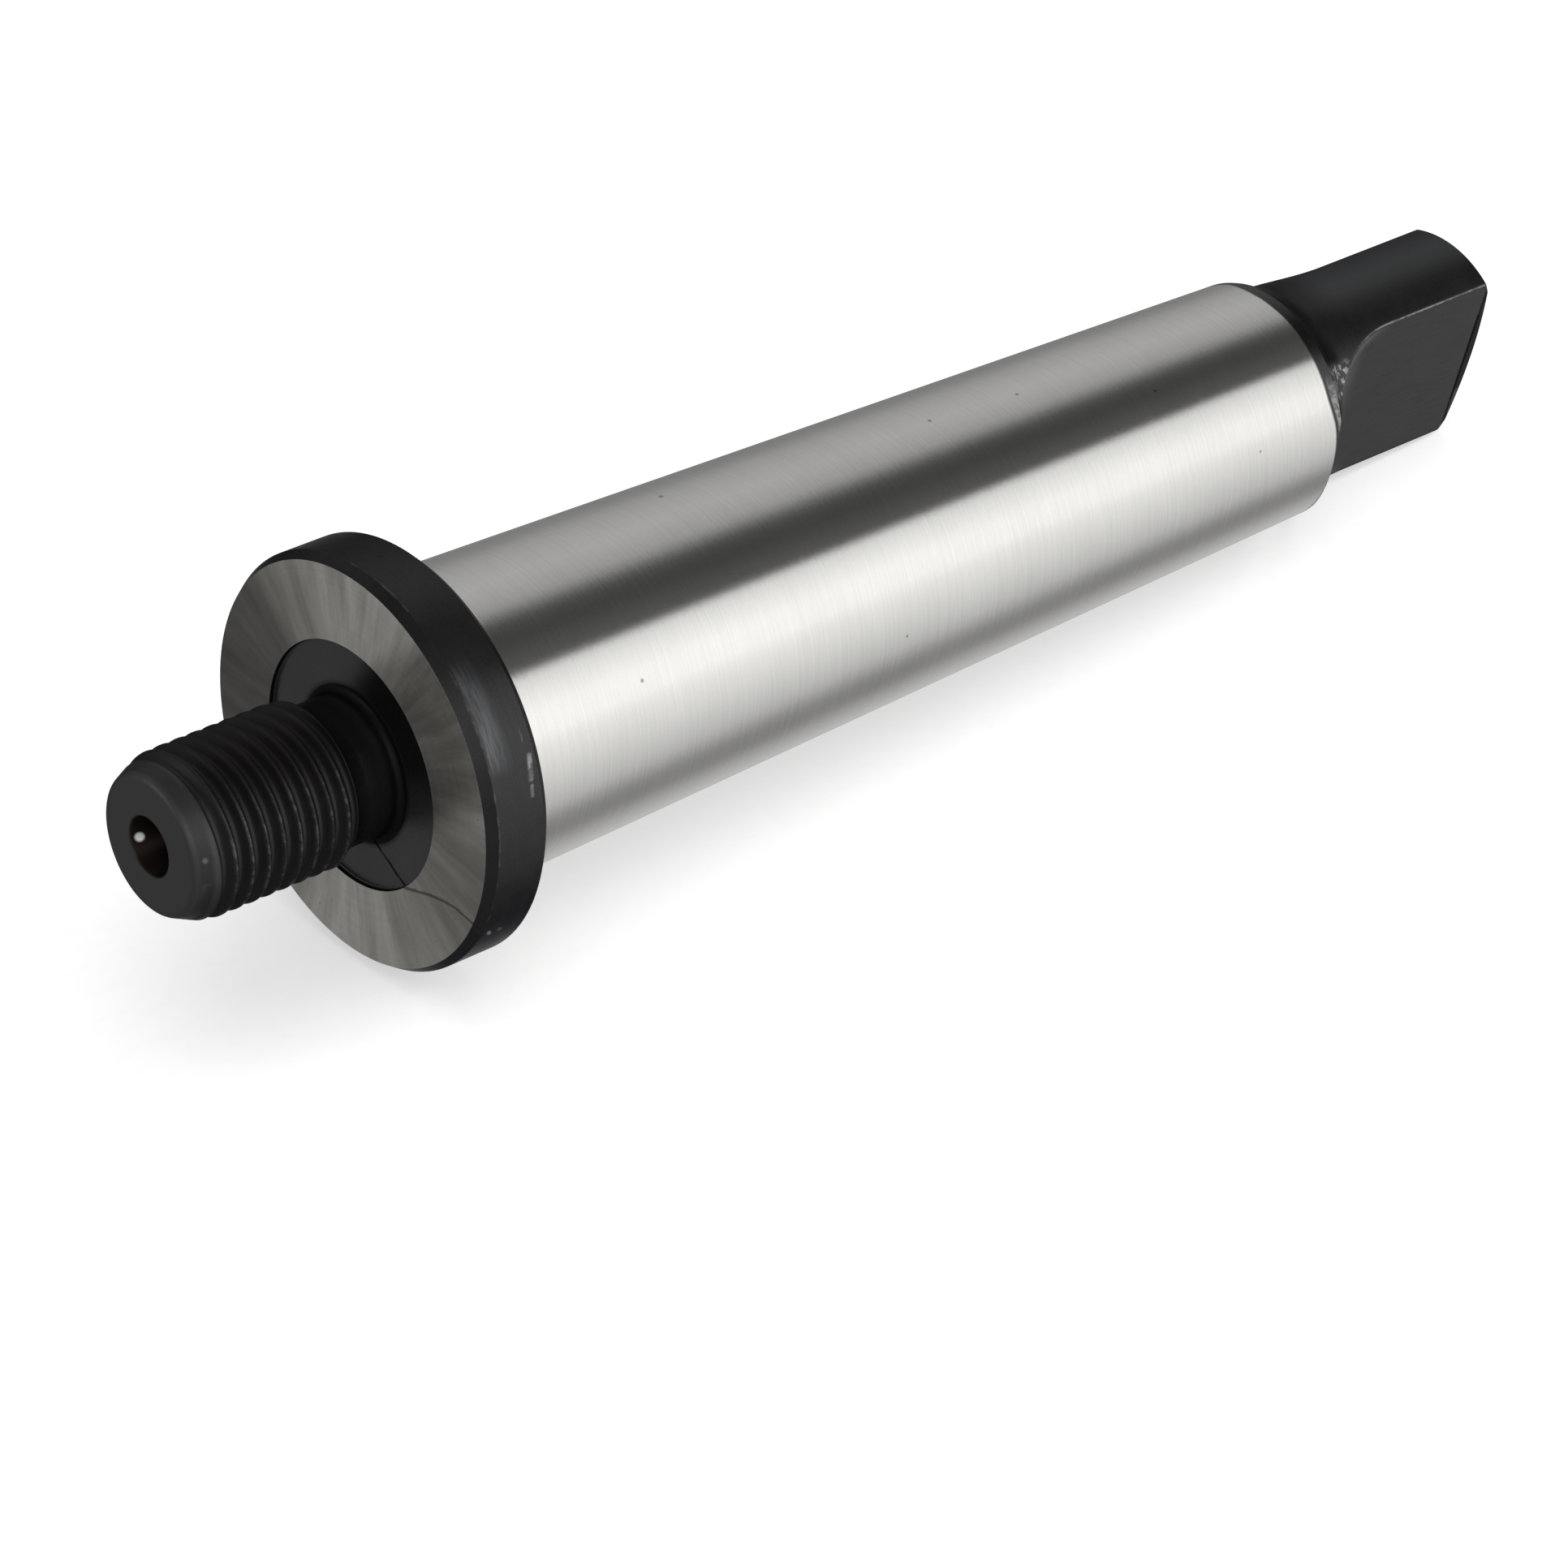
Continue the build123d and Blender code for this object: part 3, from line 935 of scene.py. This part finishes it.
        # rubbed edges of the collar, broken up: wear along the front edge, and a painted highlight on the rim near the
        # back edge
        wear_and_highlight_breakup = smooth(g, g.noise(g.combine(s, g.math("MULTIPLY", cu, 9.0), g.math("MULTIPLY", cv, 9.0)), 1.0, 4.0, 0.65),
                     0.50, 0.66)
        front = g.math("MULTIPLY", smooth(g, g.math("ABSOLUTE", g.math("SUBTRACT", s, 0.62)), 0.10, 0.02),
                       smooth(g, r, 11.7, 11.9))
        paint(g.math("MULTIPLY", front, wear_and_highlight_breakup), 0.25, (0.18, 0.18, 0.18))
        # painted highlight: a short pale line on the rim near its back edge, at about 59 degrees
        rim_highlight = g.math("MULTIPLY", smooth(g, g.math("ABSOLUTE", g.math("SUBTRACT", s, 3.15)), 0.09, 0.03),
                       smooth(g, angle_from(g, u, v, r, 59.0), 0.965, 0.99))
        paint(g.math("MULTIPLY", rim_highlight, wear_and_highlight_breakup), 0.5, (0.30, 0.30, 0.30))
        arc_mm = g.math("MULTIPLY", a, COLLAR_R)
        uneven = smooth(g, g.noise(pos, 1.7, 4.0, 0.6), 0.36, 0.60, 0.25, 1.0)
        on_rim = smooth(g, r, COLLAR_R - 0.35, COLLAR_R - 0.1)
        for pts, width, level in (
                (((3.30, 65.8), (3.20, 69.0), (3.12, 71.5)), 0.24, 0.62), (((3.10, 73.5), (3.04, 76.0)), 0.17, 0.35),
                (((1.12, 117.2), (1.30, 118.6)), 0.20, 0.6), (((1.85, 117.8), (2.02, 118.6)), 0.18, 0.5),
                (((2.3, -133.0), (2.6, -130.5)), 0.20, 0.6), (((0.9, -58.6), (1.2, -57.0)), 0.18, 0.5),
                (((3.45, 170.4), (3.55, 172.6)), 0.20, 0.6)):
            line_mm = [(x, math.radians(deg) * COLLAR_R) for x, deg in pts]
            nick = g.math("MULTIPLY", smooth(g, near_line(g, s, arc_mm, line_mm), width, width * 0.15), on_rim)
            nick = g.math("MULTIPLY", nick, uneven)
            paint(nick, level * 0.75, (0.42, 0.42, 0.42))
            duller(nick, 0.4, 0.3)
        # painted highlight: a soft bluish sheen on the rim near the front, at about 52 degrees, broken into streaks
        streaks = g.noise(g.combine(g.math("MULTIPLY", s, 5.0), g.math("MULTIPLY", cu, 6.0), g.math("MULTIPLY", cv, 6.0)),
                          1.0, 4.0, 0.65)
        front = g.math("MULTIPLY", smooth(g, angle_from(g, u, v, r, 52.0), 0.955, 0.99),
                       g.math("MULTIPLY", smooth(g, s, 0.62, 0.85), smooth(g, s, 2.5, 1.1)))
        paint(g.math("MULTIPLY", g.math("MULTIPLY", front, on_rim), smooth(g, streaks, 0.34, 0.62, 0.3, 1.0)),
              0.75, (0.115, 0.117, 0.122))
        # rubbed thread crests, paler: wear, and painted highlights, stronger on the lower side
        crest = g.math("MULTIPLY", smooth(g, r, R_CREST - 0.13, R_CREST - 0.02), smooth(g, s, -2.9, -3.1))
        some = smooth(g, g.noise(pos, 1.6, 4.0, 0.7), 0.46, 0.62)
        some = g.math("MULTIPLY", some, smooth(g, angle_from(g, u, v, r, 110.0), 0.3, 0.85, 0.05, 1.0))
        paint(g.math("MULTIPLY", crest, some), 0.5, (0.15, 0.15, 0.155))
        paint(near_spot(g, pos, -12.75, 4.4, 76.0, 0.30), 0.55, (0.35, 0.35, 0.36))
        # painted highlight: a small near-white spot in the stud's centre hole
        bright = near_spot(g, pos, -12.83, 1.478, -101.8, 0.34)
        paint(bright, 1.0, (0.98, 0.98, 0.98))
        # the dark line across the recess's floor
        on_floor = g.math("MULTIPLY", smooth(g, g.math("ABSOLUTE", g.math("SUBTRACT", s, 0.3)), 0.08, 0.03),
                          smooth(g, r, 7.2, 7.0))
        wobble = g.math("MULTIPLY", g.math("SUBTRACT", g.noise(pos, 2.2, 3.0, 0.6), 0.5), 0.16)
        line = g.math("MULTIPLY", smooth(g, g.math("ADD", near_line(g, u, v, LINE_FLOOR), wobble), 0.14, 0.03), on_floor)
        paint(line, 0.9, (0.002, 0.002, 0.002))
        height = g.math("SUBTRACT", height, line)
        # rough torn metal in the corner of the hollow beside the flats, made duller, with pale specks painted on it as
        # glints
        hollow = g.math("MULTIPLY", smooth(g, s, S_SH + 0.1, S_SH + 0.35), smooth(g, s, S_SH + 2.6, S_SH + 1.3))
        turned = g.math("DIVIDE", g.math("ABSOLUTE", over), r)
        beside = g.math("MULTIPLY", smooth(g, turned, 0.56, 0.68), smooth(g, turned, 0.90, 0.80))
        torn = g.noise(g.combine(g.math("MULTIPLY", s, 1.2), u, v), 2.3, 4.0, 0.72)
        paint(g.math("MULTIPLY", hollow, beside), 0.4, (0.060, 0.060, 0.060))
        torn_and_glints = g.math("MULTIPLY", g.math("MULTIPLY", hollow, beside), smooth(g, torn, 0.51, 0.62))
        paint(torn_and_glints, 0.85, (0.38, 0.38, 0.37))
        duller(g.math("MULTIPLY", hollow, beside), 1.0, 0.15)
        height = g.math("ADD", height, g.math("MULTIPLY", g.math("MULTIPLY", hollow, beside), torn))
        # the break at the cone's small end is bare where the grinding ran over it
        bare = g.math("MULTIPLY", smooth(g, s, S_SH + 0.10, S_SH - 0.02),
                      g.math("MULTIPLY", smooth(g, s, S_SMALL - 0.3, S_SMALL - 0.1),
                             smooth(g, angle_from(g, u, v, r, 200.0), -0.42, 0.14)))
        paint(bare, 0.9, (0.60, 0.60, 0.59))
        # and pale beside the flats
        torn_edge = g.math("MULTIPLY", g.math("MULTIPLY", smooth(g, s, S_SMALL - 0.2, S_SMALL), smooth(g, s, S_SH + 0.35, S_SH)),
                           g.math("MULTIPLY", beside, smooth(g, torn, 0.40, 0.56, 0.35, 1.0)))
        paint(torn_edge, 0.75, (0.13, 0.13, 0.13))
        duller(torn_edge, 1.0, 0.25)
        # rubbed edges of the flats
        worn = g.new("ShaderNodeAttribute", attribute_name="rubbed").outputs["Fac"]
        along = g.noise(g.combine(s, across, over), 1.1, 4.0, 0.7)
        worn = g.math("MULTIPLY", smooth(g, worn, 0.35, 0.9), smooth(g, along, 0.40, 0.56, 0.35, 1.0))
        paint(worn, 0.75, (0.22, 0.22, 0.22))
        # the tang's end: rubbed corners, a scraped patch, scratches and pits
        end = smooth(g, s, EDGE_S - 0.12, EDGE_S - 0.02)
        curved = smooth(g, g.math("ABSOLUTE", over), TANG_HALF - 0.05, TANG_HALF - 0.25)
        dots = smooth(g, g.noise(g.combine(over, g.math("MULTIPLY", across, 0.4), s), 3.6, 3.0, 0.7), 0.44, 0.54)
        rim = g.math("MULTIPLY", smooth(g, g.math("ABSOLUTE", g.math("SUBTRACT", r, EDGE_R - 0.05)), 0.13, 0.04), curved)
        paint(g.math("MULTIPLY", g.math("MULTIPLY", rim, dots), end), 0.9, (0.72, 0.72, 0.70))
        flank = g.math("MULTIPLY", smooth(g, g.math("ABSOLUTE", over), TANG_HALF - 0.13, TANG_HALF - 0.05), end)
        paint(flank, 0.5, (0.08, 0.08, 0.08))
        slant = g.math("SUBTRACT", across, g.math("MULTIPLY", over, 0.75))
        patch = g.math("MULTIPLY", smooth(g, over, 2.02, 2.12),
                       g.math("MULTIPLY", smooth(g, slant, 0.15, 0.35), smooth(g, slant, 2.3, 2.1)))
        paint(g.math("MULTIPLY", patch, end), 0.5, (0.16, 0.16, 0.165))
        scratch = near_line(g, across, over, [(-4.9, 1.1), (-4.4, 0.7), (-4.2, 0.1), (-4.5, -0.6)])
        scratch = g.math("MINIMUM", scratch, near_line(g, across, over, [(2.2, -2.4), (3.6, -0.3)]))
        scratch = g.math("MINIMUM", scratch, near_line(g, across, over, [(-1.2, 2.7), (-3.1, 1.9)]))
        paint(g.math("MULTIPLY", smooth(g, scratch, 0.06, 0.02), end), 0.4, (0.35, 0.35, 0.35))
        pits = smooth(g, g.noise(pos, 2.4, 2.0, 0.4), 0.70, 0.76)
        paint(g.math("MULTIPLY", pits, end), 0.8, (0.22, 0.22, 0.22))
        g.put(bsdf.inputs["Metallic"], metal)
    g.link(colour, bsdf.inputs["Base Color"])
    g.link(rough, bsdf.inputs["Roughness"])
    bsdf.inputs["Specular IOR Level"].default_value = 0.12
    bsdf.inputs["Specular Tint"].default_value = (0.35, 0.35, 0.36, 1)
    g.link(g.bump(height, 0.10 if milled else 0.07, 0.00016), bsdf.inputs["Normal"])
    return m


MATERIALS = [ground_steel("ground_taper", False), black_oxide("black_oxide", False),
             ground_steel("ground_face", True), black_oxide("black_milled", True)]
for m in MATERIALS:
    mesh.materials.append(m)

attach(arbor, "root")
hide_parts("chuck_arbor")

# ----------------------------------------------------------------------------
# Floor
# ----------------------------------------------------------------------------
bpy.ops.mesh.primitive_plane_add(size=6.0, location=(0, 0, 0))
floor = bpy.context.object
floor.name = "floor"
mat, g, bsdf = material("floor_paper")
speck = g.noise(g.new("ShaderNodeTexCoord").outputs["Object"], 900.0, 3.0, 0.6)
g.link(g.ramp(speck, [(0.3, (0.43, 0.43, 0.43)), (0.7, (0.46, 0.46, 0.46))]), bsdf.inputs["Base Color"])
bsdf.inputs["Roughness"].default_value = 0.8
bsdf.inputs["Specular IOR Level"].default_value = 0.1
bsdf.inputs["Emission Color"].default_value = (1, 1, 1, 1)
bsdf.inputs["Emission Strength"].default_value = 0.55
floor.data.materials.append(mat)
floor.visible_glossy = False

# ----------------------------------------------------------------------------
# Camera: the photograph's view, 133.9 mm lens, 35 degrees down
# ----------------------------------------------------------------------------
cam_data = bpy.data.cameras.new("camera")
cam = bpy.data.objects.new("camera", cam_data)
bpy.context.scene.collection.objects.link(cam)
TO_CAD = np.stack([AXIS, UP, SIDE])
place = (ORIGIN + np.array([-164.207, 167.891, 208.285]) @ TO_CAD) / 1000
right = np.array([0.748882, 0.051582, 0.660692]) @ TO_CAD
up = np.array([0.321858, 0.843178, -0.430649]) @ TO_CAD
back = np.array([-0.579295, 0.535154, 0.614839]) @ TO_CAD
cam.matrix_world = Matrix([[*map(float, (right[i], up[i], back[i], place[i]))] for i in range(3)] + [[0, 0, 0, 1]])
cam_data.sensor_width = 36.0
cam_data.lens = 133.918
cam_data.clip_start, cam_data.clip_end = 0.01, 20.0
bpy.context.scene.camera = cam

# ----------------------------------------------------------------------------
# Light: a soft studio.  The sky is a function of the angle about the arbor's
# length: a bright panel low in front, a dark gap overhead, a grey panel behind.
# ----------------------------------------------------------------------------
world = bpy.data.worlds.new("studio")
bpy.context.scene.world = world
world.use_nodes = True
g = Nodes(world.node_tree)
d = g.new("ShaderNodeTexCoord").outputs["Generated"]
du, ds, da = g.dot(d, UP), g.dot(d, SIDE), g.dot(d, AXIS)
psi = g.math("ARCTAN2", du, ds)                     # 0 in front, pi/2 overhead

# radiance by that angle: 0 is level in front, 90 overhead, 180 level behind
SKY = [(-180, 0.30), (-157, 0.24), (-140, 0.52), (-120, 0.66), (-95, 0.54), (-77, 0.30), (-61, 0.40), (-49, 0.72),
       (0, 1.36), (8, 1.56), (24, 1.58), (39, 1.34), (52.4, 1.02), (54, 0.15), (80, 0.076), (95, 0.11), (107, 0.50),
       (130, 0.63), (145, 0.57), (162, 0.48), (180, 0.30)]
upper = g.ramp(g.math("DIVIDE", psi, math.pi), [(a / 180, (v, v, v)) for a, v in SKY if a >= 0])
lower = g.ramp(g.math("DIVIDE", psi, -math.pi), [(-a / 180, (v, v, v)) for a, v in SKY[::-1] if a <= 0])
sky = g.mix(g.math("GREATER_THAN", psi, 0.0), lower, upper)
# beyond both ends of the arbor the room is darker
tail_side = smooth(g, da, 0.76, 0.90)
sky = g.mix(tail_side, sky, (0.06, 0.06, 0.06, 1))
head_side = smooth(g, da, 0.30, -0.25)
# on the stud's side the same, with a panel in front and a weaker one behind
HEAD = [(-180, 0.15), (-120, 0.15), (-60, 0.22), (-20, 0.32), (6, 0.45), (20, 0.95), (46, 1.05), (60, 0.28),
        (76, 0.12), (118, 0.12), (140, 0.34), (160, 0.28), (180, 0.15)]
upper = g.ramp(g.math("DIVIDE", psi, math.pi), [(a / 180, (v, v, v)) for a, v in [(0, 0.41)] + HEAD if a >= 0])
lower = g.ramp(g.math("DIVIDE", psi, -math.pi), [(-a / 180, (v, v, v)) for a, v in ([*HEAD, (0, 0.41)])[::-1] if a <= 0])
room = g.mix(g.math("GREATER_THAN", psi, 0.0), lower, upper)
split = g.new("ShaderNodeSeparateColor")
g.link(room, split.inputs[0])
room = split.outputs[0]
# and soft lights: direction (along, up, side), half width, radiance
for (ca, cu, cs), wide, level in (((-0.598, -0.502, -0.624), 20.0, 0.20), ((-0.10, -0.76, -0.65), 24.0, 0.35),
                                  ((-0.45, -0.18, -0.88), 18.0, 0.18), ((-0.80, 0.25, -0.48), 13.0, 1.3)):
    c = ca * AXIS + cu * UP + cs * SIDE
    c = c / np.linalg.norm(c)
    off = g.math("SUBTRACT", 1.0, g.dot(d, c))
    lobe = g.math("EXPONENT", g.math("DIVIDE", off, math.cos(math.radians(wide)) - 1.0))
    room = g.math("MULTIPLY_ADD", lobe, level, room)
sky = g.mix(head_side, sky, g.combine(room, room, room))
bg = g.new("ShaderNodeBackground")
g.link(sky, bg.inputs[0])
bg.inputs[1].default_value = 1.0
plain = g.new("ShaderNodeBackground")
plain.inputs[0].default_value = (0.97, 0.97, 0.97, 1)
seen = g.new("ShaderNodeLightPath").outputs["Is Camera Ray"]
mixer = g.new("ShaderNodeMixShader")
g.link(seen, mixer.inputs[0])
g.link(bg.outputs[0], mixer.inputs[1])
g.link(plain.outputs[0], mixer.inputs[2])
out = g.new("ShaderNodeOutputWorld")
g.link(mixer.outputs[0], out.inputs[0])


def area(name, loc, aim, size, power, glossy=True):
    light = bpy.data.lights.new(name, "AREA")
    light.shape = "RECTANGLE"
    light.size, light.size_y = size
    light.energy = power
    o = bpy.data.objects.new(name, light)
    bpy.context.scene.collection.objects.link(o)
    o.location = loc
    o.rotation_euler = (Vector(aim) - Vector(loc)).to_track_quat("-Z", "Y").to_euler()
    o.visible_glossy = glossy
    return o


area("overhead", (-0.1, -0.15, 1.2), (0, 0, 0), (1.4, 1.4), 16.0, glossy=False)
area("tail", (1.1, -0.35, 0.5), (0.04, 0, 0.01), (0.6, 0.6), 9.0, glossy=False)

bpy.context.scene.view_settings.view_transform = "Standard"
bpy.context.scene.view_settings.look = "None"
